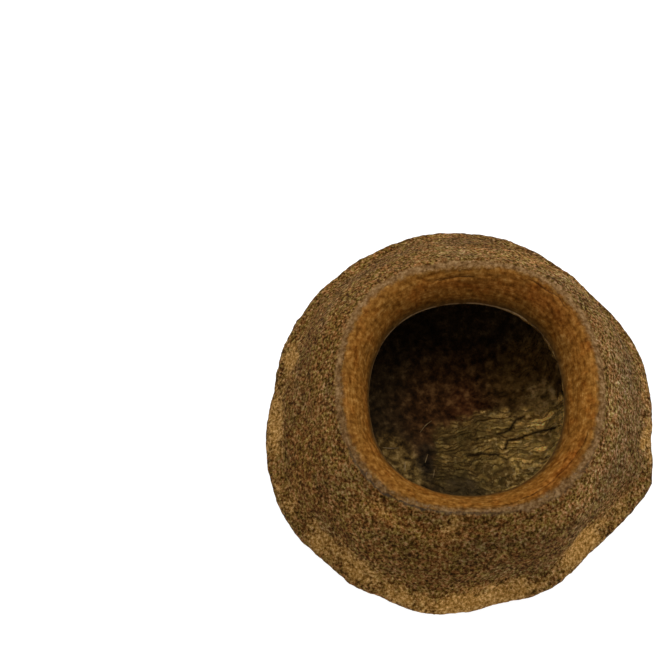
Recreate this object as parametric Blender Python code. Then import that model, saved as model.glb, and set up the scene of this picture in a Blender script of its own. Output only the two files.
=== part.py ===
"""An empty sapucaia pod: the woody, urn-shaped fruit wall of a monkey-pot tree, with its lid gone.

The pod stands mouth up on a small flat spot, +Z up. The origin is on that surface, under the middle
of the pod's bounding box. The pod grew as one piece, so it is one closed solid: a rough outer wall
with a knobbly ring round its widest part, a smooth lip, a sloping seat where the lid sat, and a hollow
that is wider than its mouth.
"""

import math

import bmesh
import bpy
from mathutils import Vector, noise

MM = 0.001

# Driving sizes.
RING_RADIUS = 78.1 * MM  # to the crest of the ring at the widest part, before its lobes
RING_HEIGHT = 46 * MM
LIP_HEIGHT = 96 * MM
LIP_RADIUS = 48.5 * MM  # to the crest of the lip
THROAT_RADIUS = 38.6 * MM
SEAT_DEPTH = 18 * MM  # from the lip's crest down to the throat's edge
FOOT_RADIUS = 21 * MM
SCAR_RADIUS = 9 * MM
SCAR_DEPTH = 2.4 * MM
FLOOR_HEIGHT = 12.5 * MM  # wall thickness at the bottom
WALL = 15.5 * MM  # wall thickness at the ring

# The body's middle and the mouth's middle, from the origin and from the body's middle.
BODY_SHIFT = Vector((0, -0.7, 0)) * MM
MOUTH_SHIFT = Vector((0.6, -0.3, 0)) * MM

# Mesh density: steps round the axis, and rows in each stretch of the turned outline.
SEGMENTS = 104
ROWS = {
    "scar": 2, "foot": 1, "dome": 8, "ring": 7, "shoulder": 9, "lip": 5, "seat": 4, "hollow": 9, "floor": 12,
}
CORNERS = ("scar", "foot", "dome", "hollow")  # stretches that start at a corner of the outline

# Lobes and dents: direction in degrees from +X, size in mm, half width in degrees.
LOBES = (
    (-19, 2.3, 7),
    (20, 1.2, 9),
    (42, -1.4, 8),
    (64, 0.8, 7),
    (84, 2.5, 18),
    (104, 0.9, 9),
    (148, -0.7, 12),
    (170, -2.1, 9),
    (211, 3.5, 17),
    (236, 1.7, 6),
    (259, 2.1, 10),
    (284, -1.6, 12),
    (313, -3.6, 14),
)
DENTS = ((-38, 1.2, 14), (-78, 1.8, 22), (-135, 1.3, 20), (60, 0.8, 25))  # hollows of the wall over the ring
DENT_HEIGHT = 58 * MM
DENT_REACH = 9 * MM  # up and down the wall
LOBES_INSIDE = 0.4  # how much of the outer lobes the hollow's wall follows
CHIP = ((43, 1.3, 3.5), (20, 0.5, 5))  # chips out of the throat's edge
MOUTH_SQUARENESS = 0.022
MOUTH_OVALNESS = 0.010

# Waves round the pod: how many, height in mm, phase in degrees.
LIP_WAVES = ((2, 0.7, 40), (3, 0.5, 200), (5, 0.25, 90))
LIP_WAVE_REACH = 26 * MM  # down from the lip
RING_WAVES = ((2, 1.3, 150), (3, 1.1, 20), (7, 0.5, 75))
RING_WAVE_REACH = 13 * MM  # up and down the wall

# Lumps of the wall: size, height and where in the noise they are taken from.
BROAD_LUMPS = ((42 * MM, 1.2 * MM, 3), (19 * MM, 0.7 * MM, 11))
CRUST_LUMPS = ((8.5 * MM, 0.55 * MM, 23),)
LIP_LUMPS = 0.35  # how much of the broad lumps the smooth lip has
SEAT_LUMPS = 0.5
CALM_FOOT = 8 * MM  # up from the foot, the height where the lumps have grown in

LAYER_CENTRE = Vector((7, 62, 0)) * MM  # the torn layers of the hollow's floor lie round this point
LAYER_PITCH = 10 * MM  # from one layer's edge to the next
LAYER_STEP = 1.5 * MM
LAYER_WANDER = (24 * MM, 7 * MM, 31)  # size, reach and place in the noise of the edges' wandering
TORN_START, TORN_FULL = -14 * MM, 6 * MM  # to the right of the floor's middle
CHAMBERS = 4  # low walls on the floor show where they met
CHAMBER_TURN = math.radians(-15)
CHAMBER_WALL = 1.6 * MM
CHAMBER_WALL_WIDTH = 7 * MM
CHAMBER_BREAKS = (15 * MM, 37)  # size and place in the noise of the gaps in them


def smoothstep(low, high, value):
    share = min(1.0, max(0.0, (value - low) / (high - low)))
    return share * share * (3 - 2 * share)


def stretches():
    """The turned outline as named stretches of (radius, height) points, from the scar round to the floor."""
    scar, foot = SCAR_RADIUS, FOOT_RADIUS
    ring, rise = RING_RADIUS, RING_HEIGHT
    lip, top = LIP_RADIUS, LIP_HEIGHT
    throat, edge = THROAT_RADIUS, LIP_HEIGHT - SEAT_DEPTH
    inner, floor = RING_RADIUS - WALL, FLOOR_HEIGHT
    rim = scar * 1.25
    outline = {
        "scar": [(0, SCAR_DEPTH * 0.5), (scar * 0.6, SCAR_DEPTH * 0.8), (scar, SCAR_DEPTH), (rim, 0)],
        "foot": [(rim, 0), (foot, 0)],
        "dome": [(foot, 0), (ring * 0.42, 2 * MM), (ring * 0.63, 8.5 * MM), (ring * 0.79, 17 * MM),
                 (ring * 0.90, 26.5 * MM), (ring * 0.952, rise - 9 * MM)],
        "ring": [(ring * 0.952, rise - 9 * MM), (ring * 0.984, rise - 5 * MM), (ring, rise),
                 (ring * 0.986, rise + 3.5 * MM), (ring * 0.958, rise + 6 * MM), (ring * 0.93, rise + 9 * MM)],
        "shoulder": [(ring * 0.93, rise + 9 * MM), (ring * 0.90, rise + 15 * MM), (ring * 0.86, rise + 23 * MM),
                     (ring * 0.80, rise + 33 * MM), (ring * 0.735, top - 9 * MM), (lip + 5.4 * MM, top - 4.2 * MM)],
        "lip": [(lip + 5.4 * MM, top - 4.2 * MM), (lip + 3.3 * MM, top - 1.3 * MM), (lip, top),
                (lip - 2.4 * MM, top - 1.6 * MM)],
        "seat": [(lip - 2.4 * MM, top - 1.6 * MM), (lip - 5.2 * MM, top - 5.4 * MM),
                 (throat + 2.2 * MM, edge + 7.2 * MM), (throat, edge)],
        "hollow": [(throat, edge), (throat + 1.4 * MM, edge - 3.5 * MM), (throat + 9 * MM, edge - 9 * MM),
                   (inner * 0.93, edge - 18 * MM), (inner, rise), (inner * 0.96, rise - 11 * MM),
                   (inner * 0.79, floor + 13 * MM)],
        "floor": [(inner * 0.79, floor + 13 * MM), (inner * 0.55, floor + 5 * MM),
                  (inner * 0.28, floor + 1.4 * MM), (0, floor)],
    }
    return [(name, [Vector(point) for point in points]) for name, points in outline.items()]


def between(points, before, after, rows):
    """Points at even steps along a smooth curve through the given ones, up to the last, which isn't among them."""
    ends = [before, *points, after]
    steps = 16
    fine = []
    for p0, p1, p2, p3 in zip(ends, ends[1:], ends[2:], ends[3:]):
        for step in range(steps):
            t = step / steps
            bend = (2 * p0 - 5 * p1 + 4 * p2 - p3) * t * t + (3 * p1 - p0 - 3 * p2 + p3) * t * t * t
            fine.append(0.5 * (2 * p1 + (p2 - p0) * t + bend))
    fine.append(points[-1])
    lengths = [0.0]
    for a, b in zip(fine, fine[1:]):
        lengths.append(lengths[-1] + (b - a).length)
    path, k = [], 0
    for row in range(rows):
        target = lengths[-1] * row / rows
        while lengths[k + 1] < target:
            k += 1
        share = (target - lengths[k]) / (lengths[k + 1] - lengths[k])
        path.append(fine[k].lerp(fine[k + 1], share))
    return path


def turned_outline():
    """The outline's rows as (point, direction out of the solid, stretch name), the last one on the axis."""
    whole = stretches()
    points, names = [], []
    for index, (name, marks) in enumerate(whole):
        before = 2 * marks[0] - marks[1]
        after = 2 * marks[-1] - marks[-2]
        if name not in CORNERS:
            before = whole[index - 1][1][-2]
        if index + 1 < len(whole) and whole[index + 1][0] not in CORNERS:
            after = whole[index + 1][1][1]
        points += between(marks, before, after, ROWS[name])
        names += [name] * ROWS[name]
    points.append(whole[-1][1][-1])
    names.append(whole[-1][0])
    rows = []
    for index, (point, name) in enumerate(zip(points, names)):
        along = points[min(index + 1, len(points) - 1)] - points[max(index - 1, 0)]
        rows.append((point, Vector((along.y, -along.x)).normalized(), name))
    return rows


def waves(table, angle):
    return sum(height * MM * math.sin(count * angle + math.radians(phase)) for count, height, phase in table)


def bumps(table, angle):
    """Sum of round bumps at their directions."""
    total = 0.0
    for direction, height, half_width in table:
        off = math.remainder(math.degrees(angle) - direction, 360) / half_width
        total += height * MM * math.exp(-off * off)
    return total


def lumps(table, point):
    return sum(height * noise.noise(point / size + Vector((seed, 0, 0))) for size, height, seed in table)


def outer_relief(point, angle):
    """How far the outer wall stands out at this point: broad lumps, dents over the ring and coarse crust."""
    crusty = 1 - smoothstep(LIP_HEIGHT - 9 * MM, LIP_HEIGHT - 3 * MM, point.z)
    off = (point.z - DENT_HEIGHT) / DENT_REACH
    dent = bumps(DENTS, angle) * math.exp(-off * off)
    broad = lumps(BROAD_LUMPS, point) * (LIP_LUMPS + (1 - LIP_LUMPS) * crusty)
    return (broad + lumps(CRUST_LUMPS, point) * crusty - dent) * smoothstep(0, CALM_FOOT, point.z)


def torn_layers(point):
    """Height of the ragged layers on the floor: each rises slowly, away from their centre, to a step down."""
    size, reach, seed = LAYER_WANDER
    wander = reach * noise.noise(point / size + Vector((seed, 0, 0)))
    ramp = ((point - LAYER_CENTRE).xy.length + wander) / LAYER_PITCH % 1.0
    torn = smoothstep(TORN_START, TORN_FULL, point.x - 0.7 * point.y)
    return LAYER_STEP * ramp * (1 - smoothstep(0.75, 1.0, ramp)) * torn


def floor_relief(point, angle, radius):
    """Height of the torn layers and of the low, broken walls between the chambers on the hollow's floor."""
    across = math.sin(CHAMBERS / 2 * (angle - CHAMBER_TURN)) * radius / CHAMBER_WALL_WIDTH
    size, seed = CHAMBER_BREAKS
    broken = 0.5 + noise.noise(point / size + Vector((seed, 0, 0)))
    wall = CHAMBER_WALL * broken * math.exp(-across * across) * smoothstep(48 * MM, 30 * MM, radius)
    return (wall + torn_layers(point)) * smoothstep(3 * MM, 14 * MM, radius)


def grown(point, normal, stretch):
    """Where a point of the turned outline lies on the real, uneven pod."""
    radius = math.hypot(point.x, point.y)
    angle = math.atan2(point.y, point.x)
    height = point.z
    out = Vector((math.cos(angle), math.sin(angle), 0))
    up = Vector((0, 0, 1))
    facing = out * normal.x + up * normal.y
    inside = stretch in ("seat", "hollow", "floor")

    lobed = smoothstep(2 * MM, 36 * MM, height)
    lobed *= 1 - smoothstep(RING_HEIGHT + 3 * MM, LIP_HEIGHT - 10 * MM, height)
    mouth = smoothstep(RING_HEIGHT + 6 * MM, LIP_HEIGHT - 8 * MM, height)
    radius += bumps(LOBES, angle) * lobed * (LOBES_INSIDE if inside else 1)
    radius *= 1 - mouth * (MOUTH_SQUARENESS * math.cos(4 * angle) + MOUTH_OVALNESS * math.cos(2 * angle))
    placed = out * radius + up * height + BODY_SHIFT + MOUTH_SHIFT * mouth

    placed.z += waves(LIP_WAVES, angle) * smoothstep(LIP_HEIGHT - LIP_WAVE_REACH, LIP_HEIGHT - 3 * MM, height)
    if stretch in ("hollow", "floor"):
        on_floor = smoothstep(RING_HEIGHT - 4 * MM, FLOOR_HEIGHT + 8 * MM, height)
        at_edge = smoothstep(LIP_HEIGHT - SEAT_DEPTH - 6 * MM, LIP_HEIGHT - SEAT_DEPTH, height)
        placed.z += floor_relief(placed, angle, radius) * on_floor
        placed += facing * lumps(BROAD_LUMPS, placed) * (1 - on_floor) * (1 - at_edge)
        placed += out * bumps(CHIP, angle) * at_edge
    elif stretch == "seat":
        placed += facing * SEAT_LUMPS * lumps(BROAD_LUMPS, placed)
    elif stretch not in ("scar", "foot"):
        off = (height - RING_HEIGHT) / RING_WAVE_REACH
        placed.z += waves(RING_WAVES, angle) * math.exp(-off * off)
        placed += facing * outer_relief(placed, angle)
    return placed


def pod_mesh():
    """The turned outline spun round the axis, closed, and each point moved to where it grew."""
    rows = turned_outline()
    mesh = bmesh.new()
    row_of = mesh.verts.layers.int.new("row")
    outline = []
    for index, row in enumerate(rows):
        point = row[0]
        vertex = mesh.verts.new((point.x, 0, point.y))
        vertex[row_of] = index
        outline.append(vertex)
    edges = [mesh.edges.new(pair) for pair in zip(outline, outline[1:])]
    bmesh.ops.spin(
        mesh, geom=outline + edges, cent=(0, 0, 0), axis=(0, 0, 1), angle=math.tau, steps=SEGMENTS,
        use_merge=True,
    )
    bmesh.ops.remove_doubles(mesh, verts=mesh.verts, dist=1e-6)
    bmesh.ops.dissolve_degenerate(mesh, dist=1e-7, edges=mesh.edges)
    for vertex in mesh.verts:
        normal, stretch = rows[vertex[row_of]][1:]
        vertex.co = grown(vertex.co, normal, stretch)
    bmesh.ops.recalc_face_normals(mesh, faces=mesh.faces)
    made = bpy.data.meshes.new("pod")
    mesh.to_mesh(made)
    mesh.free()
    return made


def bark():
    material = bpy.data.materials.new("bark")
    material.use_nodes = True
    shader = material.node_tree.nodes["Principled BSDF"]
    shader.inputs["Base Color"].default_value = (0.155, 0.083, 0.028, 1)
    shader.inputs["Roughness"].default_value = 0.85
    shader.inputs["Metallic"].default_value = 0
    return material


def main():
    for leftover in list(bpy.data.objects):
        bpy.data.objects.remove(leftover)
    pod = bpy.data.objects.new("pod", pod_mesh())
    bpy.context.scene.collection.objects.link(pod)
    pod.data.materials.append(bark())
    pod.data.shade_smooth()
    pod.data.set_sharp_from_angle(angle=math.radians(50))


main()
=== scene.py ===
"""An empty sapucaia pod, the woody fruit wall of a monkey-pot tree, standing mouth up on a white table.

The pod is turned from the same outline and the same lobes, waves and lumps as its solid, with a finer mesh,
and gets the fine relief of its crust, lip, seat and torn floor. Its colours follow the zones of its wall.
"""

import math
import random

import bmesh
import bpy
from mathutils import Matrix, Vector, noise
from mathutils.bvhtree import BVHTree


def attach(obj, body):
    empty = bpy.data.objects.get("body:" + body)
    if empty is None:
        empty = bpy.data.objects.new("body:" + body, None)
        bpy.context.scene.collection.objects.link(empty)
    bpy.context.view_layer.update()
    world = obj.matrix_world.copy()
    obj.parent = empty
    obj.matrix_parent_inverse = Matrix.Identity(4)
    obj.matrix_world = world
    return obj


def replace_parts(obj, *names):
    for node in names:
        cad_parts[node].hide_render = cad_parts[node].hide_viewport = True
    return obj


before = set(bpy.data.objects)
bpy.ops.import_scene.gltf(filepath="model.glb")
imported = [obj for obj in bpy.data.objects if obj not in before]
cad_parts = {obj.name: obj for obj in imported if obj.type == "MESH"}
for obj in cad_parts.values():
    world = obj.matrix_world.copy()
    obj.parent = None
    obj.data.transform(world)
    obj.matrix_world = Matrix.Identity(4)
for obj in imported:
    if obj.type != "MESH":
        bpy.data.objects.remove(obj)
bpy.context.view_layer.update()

MM = 0.001

# Driving sizes.
RING_RADIUS = 78.1 * MM  # to the crest of the ring at the widest part, before its lobes
RING_HEIGHT = 46 * MM
LIP_HEIGHT = 96 * MM
LIP_RADIUS = 48.5 * MM  # to the crest of the lip
THROAT_RADIUS = 38.6 * MM
THROAT_HEIGHT = LIP_HEIGHT - 18 * MM  # of the edge between the seat and the hollow
FOOT_RADIUS = 21 * MM
SCAR_RADIUS = 9 * MM
SCAR_DEPTH = 2.4 * MM
FLOOR_HEIGHT = 12.5 * MM  # wall thickness at the bottom
WALL = 15.5 * MM  # wall thickness at the ring

# The body's middle and the mouth's middle, from the origin and from the body's middle.
BODY_SHIFT = Vector((0, -0.7, 0)) * MM
MOUTH_SHIFT = Vector((0.6, -0.3, 0)) * MM

# Heights between which parts of the shape grow in or fade out.
LUMPS_IN = (0, 8 * MM)
GRAIN_IN = (0, 5 * MM)
LOBES_IN = (2 * MM, 36 * MM)
LOBES_OUT = (RING_HEIGHT + 3 * MM, LIP_HEIGHT - 10 * MM)
MOUTH_IN = (RING_HEIGHT + 6 * MM, LIP_HEIGHT - 8 * MM)
CRUST_OUT = (LIP_HEIGHT - 9 * MM, LIP_HEIGHT - 3 * MM)
LIP_WAVES_IN = (LIP_HEIGHT - 26 * MM, LIP_HEIGHT - 3 * MM)
THROAT_IN = (THROAT_HEIGHT - 6 * MM, THROAT_HEIGHT)
FLOOR_IN = (RING_HEIGHT - 4 * MM, FLOOR_HEIGHT + 8 * MM)  # downwards

# Mesh density: steps round the axis, rows in each stretch of the turned outline, and the fine steps between
# two points of the outline from which the rows are picked.
SEGMENTS = 480
ROWS = {"scar": 3, "foot": 3, "dome": 26, "ring": 22, "shoulder": 42, "lip": 22, "seat": 24, "hollow": 20,
        "floor": 46}
CURVE_STEPS = 16
CORNERS = ("scar", "foot", "dome", "hollow")  # stretches that start at a corner of the outline

# Lobes and dents: direction in degrees from +X, size in mm, half width in degrees.
LOBES = (
    (-19, 2.3, 7),
    (20, 1.2, 9),
    (42, -1.4, 8),
    (64, 0.8, 7),
    (84, 2.5, 18),
    (104, 0.9, 9),
    (148, -0.7, 12),
    (170, -2.1, 9),
    (211, 3.5, 17),
    (236, 1.7, 6),
    (259, 2.1, 10),
    (284, -1.6, 12),
    (313, -3.6, 14),
)
DENTS = ((-38, 1.2, 14), (-78, 1.8, 22), (-135, 1.3, 20), (60, 0.8, 25))  # hollows of the wall over the ring
DENT_HEIGHT = 58 * MM
DENT_REACH = 9 * MM  # up and down the wall
LOBES_INSIDE = 0.4  # how much of the outer lobes the hollow's wall follows
CHIP = ((43, 1.3, 3.5), (20, 0.5, 5))  # chips out of the throat's edge
MOUTH_SQUARENESS = 0.022
MOUTH_OVALNESS = 0.010

# Waves round the pod: how many, height in mm, phase in degrees.
LIP_WAVES = ((2, 0.7, 40), (3, 0.5, 200), (5, 0.25, 90))
RING_WAVES = ((2, 1.3, 150), (3, 1.1, 20), (7, 0.5, 75))
RING_WAVE_REACH = 13 * MM  # up and down the wall

# Lumps of the wall: size, height and where in the noise they are taken from.
BROAD_LUMPS = ((42 * MM, 1.2 * MM, 3), (19 * MM, 0.7 * MM, 11))
CRUST_LUMPS = ((8.5 * MM, 0.55 * MM, 23),)
LIP_LUMPS = 0.35  # how much of the broad lumps the smooth lip has
SEAT_LUMPS = 0.5
GRAIN_SQUEEZE = (1, 1, 0.65)  # of places in the noise, which draws the coloured grains out upwards
CRUST_GRAIN = ((4.2 * MM, 0.26 * MM, 51), (2.1 * MM, 0.28 * MM, 57), (1.3 * MM, 0.2 * MM, 61))
LIP_GRAIN = ((7 * MM, 0.3 * MM, 67), (2.4 * MM, 0.1 * MM, 71))
HOLLOW_GRAIN = ((7 * MM, 0.7 * MM, 73), (2.8 * MM, 0.4 * MM, 79))
HOLLOW_GRAIN_IN = 5 * MM  # down from the throat's edge
SCAR_GRAIN = 0.3  # how much of the crust's grain the scar has

LAYER_CENTRE = Vector((7, 62, 0)) * MM  # the torn layers of the hollow's floor lie round this point
LAYER_PITCH = 10 * MM  # from one layer's edge to the next
LAYER_STEP = 1.5 * MM
LAYER_WANDER = (24 * MM, 7 * MM, 31)  # size, reach and place in the noise of the edges' wandering
TORN_IN = (-14 * MM, 6 * MM)  # to the right of a line through the floor's middle
TORN_SLANT = 0.7  # how far that line runs to the right for each step towards the back
CHAMBERS = 4  # low walls on the floor show where they met
CHAMBER_TURN = math.radians(-15)
CHAMBER_WALL = 1.6 * MM
CHAMBER_WALL_WIDTH = 7 * MM
CHAMBER_WALL_ENDS = (48 * MM, 30 * MM)  # distances from the axis where they have ended and are whole
CHAMBER_BREAKS = (15 * MM, 37)  # size and place in the noise of the gaps in them
CALM_MIDDLE = (3 * MM, 14 * MM)  # distances from the axis between which the floor's relief grows in

FINE_LAYERS = 2  # thin layers in each coarse one
FINE_STEP = 0.8 * MM
FINE_WANDER = ((5 * MM, 0.10, 0), (2 * MM, 0.05, 0))  # size, reach in coarse layers and place in the noise
KNOBS = ((35, 15, 2.4, 1.0), (40, 12, 2.0, 0.8), (37, 19, 1.8, 0.7))  # x, y, half width and height in mm

# The smooth lip band's edges, measured inwards along the outline from the lip's crest. Round some directions
# the whole band lies further in, or its outer edge alone: direction in degrees, mm, half width in degrees.
LIP_BAND_OUTER = -3.9 * MM
LIP_BAND_INNER = -1.2 * MM
LIP_BAND_SHIFT = ((270, 3.2, 32), (95, 2.2, 26), (318, 1.2, 15))
LIP_BAND_NARROWED = ((252, 1.3, 42),)
# How ragged the outer and the inner edge are: size, reach and place in the noise.
LIP_EDGE_RAGGED = ((6 * MM, 0.9 * MM, 91), (5 * MM, 0.7 * MM, 93))
LIP_REACH = 14 * MM  # from the lip's crest, further than any point of the band
OFF_LIP = -6.0  # mm outside the band, the most that is told apart
CRUST_THICKNESS = 0.35 * MM  # the crust stands this much over the lip band
CRUST_EDGE = 1.6  # mm from the band to where the crust is whole
CRUST_STEP_IN = (-12 * MM, -7 * MM)  # along from the lip's crest, where the crust has begun to stand out
# The painted shade line round the lip band, under the crust's edge: direction in degrees, strength, half width
# in degrees.
GROOVE_SHADE_STRENGTHS = ((232, 0.9, 30), (275, 0.4, 20), (325, 0.4, 25))

# The cracks in the seat: (direction in degrees, mm along from the lip's crest) at each of their turns.
SEAMS = (
    ((-88, 4.2), (-74, 3.2), (-58, 4.6), (-44, 4.8), (-30, 3.4), (-18, 2.0)),
    ((36, 1.4), (45, 0.6), (54, 1.6), (64, 0.9)),
    ((82, 5.6), (92, 4.6), (101, 5.4), (110, 4.8)),
)
SEAM_FADE = 7  # degrees, at both ends
SEAM_DEPTH = 0.5 * MM
SEAM_HALF_WIDTH = 0.6  # mm
SEAT_RING_SPACING = 1.5 * MM
SEAT_RING_HEIGHT = 0.14 * MM
SEAT_RING_WANDER = 30 * MM  # size of the noise that bends the rings

# Worn ochre patches on the ring: direction in degrees, strength, half width in degrees, and height over the
# ring in mm.
WORN_PATCHES = (
    (163, 1.0, 6, 12),
    (184, 1.0, 11, 7),
    (207, 0.4, 6, 5),
    (222, 0.7, 7, 6),
    (236, 0.9, 7, 8),
    (252, 0.6, 8, 5),
    (278, 1.1, 18, 4),
    (311, 1.5, 8, 8),
    (328, 0.3, 8, 6),
    (352, 0.6, 7, 6),
    (10, 0.3, 8, 8),
    (233, 0.5, 4, 43),
    (262, 0.7, 6, 45),
)
WORN_BAND = 0.1  # how worn the ring is all round
WORN_BAND_HEIGHT = RING_HEIGHT + 4 * MM
WORN_REACH = 6 * MM  # up and down the wall

# Paler and darker parts, partly painted light and shade on the sides that the key light reaches or misses,
# partly the wall's own tone: direction, height in mm, half width in degrees, half height in mm, strength. A
# half width of 900 degrees goes all round.
CRUST_TONES_AND_PAINTED_LIGHT = (
    (0, 87, 900, 6, 0.12),
    (90, 82, 30, 8, 0.30),
    (0, 78, 25, 9, 0.20),
    (45, 74, 22, 9, 0.30),
    (135, 86, 30, 8, 0.02),
    (318, 88, 16, 6, 0.50),
    (318, 64, 14, 9, 0.50),
    (313, 54, 12, 5, 0.35),
    (282, 84, 14, 3, -0.18),
    (268, 86, 14, 5, -0.12),
    (0, 90, 22, 4, 0.20),
    (228, 88, 20, 5, 0.15),
    (270, 82, 18, 4, -0.12),
    (300, 60, 7, 6, -0.15),
    (320, 64, 6, 5, -0.12),
    (172, 58, 6, 5, -0.15),
    (196, 60, 8, 6, -0.10),
    (270, 54, 25, 6, 0.40),
    (275, 76, 24, 8, -0.12),
    (0, 54, 22, 6, 0.25),
    (250, 95, 45, 3.5, -0.14),
    (315, 95, 20, 3.5, -0.10),
    (275, 96, 26, 3, -0.22),
    (0, 91, 22, 3, 0.20),
    (45, 78, 22, 7, 0.20),
    (318, 91, 16, 3, 0.25),
)
SEAT_TONES_AND_PAINTED_LIGHT = (
    (0, 88, 30, 9, 0.30),
    (0, 80, 30, 5, 0.40),
    (0, 94, 24, 4, 0.10),
    (45, 90, 25, 9, 0.12),
    (90, 80, 30, 5, 0.30),
    (90, 88, 25, 6, 0.06),
    (180, 90, 25, 8, 0.06),
    (225, 92, 20, 6, 0.05),
    (315, 90, 20, 6, 0.12),
    (318, 95, 18, 2.5, -0.28),
    (262, 95, 35, 2.5, -0.12),
    (48, 93, 22, 4, -0.20),
)

# Parts of another hue, given in the same way: warmer crust, redder seat, and crust greyed by painted cool
# light.
WARM_PATCHES = (
    (262, 89, 14, 3, 0.8),
    (232, 89, 8, 3, 0.8),
    (292, 72, 12, 6, 0.3),
    (200, 66, 14, 9, 0.4),
    (60, 76, 16, 7, 0.3),
)
SEAT_REDS = (
    (50, 92, 22, 4, 0.9),
    (95, 90, 24, 3, 0.6),
    (318, 93, 16, 3, 0.8),
    (185, 84, 14, 3, 0.4),
)
COOL_LIGHT_PATCHES = (
    (0, 72, 40, 30, 1.0),
    (50, 84, 30, 12, 0.5),
    (90, 84, 30, 8, 0.4),
    (318, 84, 20, 9, 0.3),
    (282, 84, 14, 3, 0.6),
)

HOLLOW_TONE = 1.5  # how much brighter the hollow's colours are shown than they are given below
TORN_TILT = 0.2  # the torn plates of the floor lie below a line of this slope, seen from above

# Dark cracks between the torn plates, seen from above: x and y in mm at each of their turns.
FLOOR_CRACKS = (
    ((19, 0), (24, 2), (27, 6), (30, 7)),
    ((22, -6), (23, -3), (30, -1), (42, 1)),
    ((6, -9), (12, -8), (19, -9)),
)
CRACK_HALF_WIDTH = 1.3  # mm
CRACK_WAVER = 1.8  # mm
CRACK_WAVER_SIZE = 4 * MM  # of the noise that bends them

# Patches of the hollow's floor, seen from above: x and y in mm, the distances in mm where each has faded out
# and is full, its share, and its four colours from dark to pale. The reddish ones lie under the torn plates,
# the rest over them.
PATCH_STOPS = (0.34, 0.46, 0.56, 0.68)  # places of the four colours in the noise
REDDISH_PATCHES = (
    (2, 12, 34, 12, 0.9, (24, 13, 5), (46, 26, 11), (68, 42, 20), (100, 68, 36)),
    (9, 13, 16, 3, 0.7, (34, 15, 6), (64, 32, 14), (88, 52, 26), (118, 80, 44)),
    (20, 22, 20, 4, 0.7, (20, 12, 5), (48, 30, 13), (76, 52, 26), (108, 78, 42)),
)
FLOOR_PATCHES = (
    (32, 24, 21, 7, 0.85, (58, 39, 15), (86, 60, 26), (108, 79, 38), (134, 102, 56)),
    (37, 15, 9, 3, 0.9, (50, 34, 12), (104, 78, 38), (156, 122, 68), (200, 164, 110)),
    (-27, -8, 12, 4, 0.7, (24, 16, 6), (62, 45, 18), (104, 80, 40), (150, 122, 74)),
    (-19, -19, 13, 4, 0.7, (24, 16, 6), (62, 46, 19), (104, 82, 42), (150, 122, 74)),
    (-11, -6, 5, 2, 0.7, (12, 9, 5), (24, 18, 11), (36, 28, 18), (50, 40, 26)),
    (-11.5, -12, 5, 2, 0.8, (12, 9, 5), (24, 18, 11), (36, 28, 18), (50, 40, 26)),
    (-11, -18, 5, 2, 0.6, (12, 9, 5), (24, 18, 11), (36, 28, 18), (50, 40, 26)),
    (3, -27, 14, 4, 0.75, (28, 21, 11), (42, 33, 19), (52, 42, 26), (66, 54, 36)),
)

# Loose fibres: start x and y in mm, heading in degrees, length in mm, how far it turns in degrees.
FIBRES = (
    (-14, 1, 55, 7.5, -35),
    (-30, -6, -8, 7, 25),
    (-12, -12, 80, 4, -20),
    (-9, -19, 75, 4, 30),
    (-21, -16, 70, 4, 30),
)
FIBRE_STEPS = 12
FIBRE_SIDES = 6
FIBRE_RADII = (0.16, 0.3)  # mm, thinnest and thickest
FIBRE_TIP = 0.35  # how thick its ends are beside its middle
FIBRE_LIFT = 0.5 * MM  # of its middle over the floor
FIBRE_WAVER = 4  # degrees at each step
FIBRE_SEED = 5

# Colours from dark to pale, each with its place in the noise that picks among them.
CRUST_SHADES = (
    (0.30, (28, 14, 1)),
    (0.42, (65, 40, 7)),
    (0.51, (112, 80, 38)),
    (0.60, (152, 117, 72)),
    (0.74, (200, 166, 122)),
)
OCHRE_SHADES = ((0.32, (94, 62, 20)), (0.43, (134, 95, 41)), (0.52, (172, 127, 66)), (0.68, (222, 180, 116)))
PITH_SHADES = ((0.36, (58, 38, 16)), (0.5, (96, 70, 38)), (0.64, (140, 112, 70)))
LIP_SHADES = ((0.38, (74, 50, 25)), (0.49, (112, 82, 48)), (0.60, (146, 115, 77)))
SEAT_SHADES = ((0.34, (84, 47, 9)), (0.45, (118, 74, 24)), (0.54, (144, 96, 38)), (0.66, (178, 130, 66)))
PULP_SHADES = ((0.36, (26, 19, 10)), (0.48, (42, 30, 16)), (0.58, (56, 42, 24)), (0.70, (82, 64, 40)))
TORN_SHADES = ((0.36, (72, 51, 19)), (0.46, (108, 81, 38)), (0.54, (136, 107, 57)), (0.66, (184, 152, 95)))
STRAW_SHADES = ((0.35, (84, 63, 33)), (0.6, (142, 116, 74)))

# Single colours.
LIP_FLECK = (132, 120, 106)
# Painted shade under the crust's edge, along the lip band.
LIP_SHADE_LINE = (58, 48, 38)
THROAT_PAINTED_SHADE = (78, 60, 32)
THROAT_HIGHLIGHT = (166, 136, 98)
SEAM_SHADE = (44, 20, 4)
TORN_BROWN = (86, 66, 32)
TORN_GAP_SHADE = (36, 24, 8)
TORN_FLECK_HIGHLIGHT = (186, 154, 98)
CRACK_SHADE = (22, 12, 3)

# Tints: what a colour's red, green and blue are multiplied by.
REDDISH = (1.10, 0.88, 0.74)
OLIVE = (0.94, 1.03, 0.66)
DULL = (0.86, 0.84, 0.82)
BLUISH = (0.95, 1.0, 1.15)
WARM = (1.14, 0.94, 0.68)
COOL_LIGHT_TINT = (0.98, 1.10, 1.45)
SEAT_RUSTY = (0.99, 0.86, 0.74)
SEAT_DULL = (0.90, 0.92, 0.96)
SEAT_RED = (1.02, 0.82, 0.74)
TORN_DULL = (0.80, 0.84, 0.80)

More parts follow.
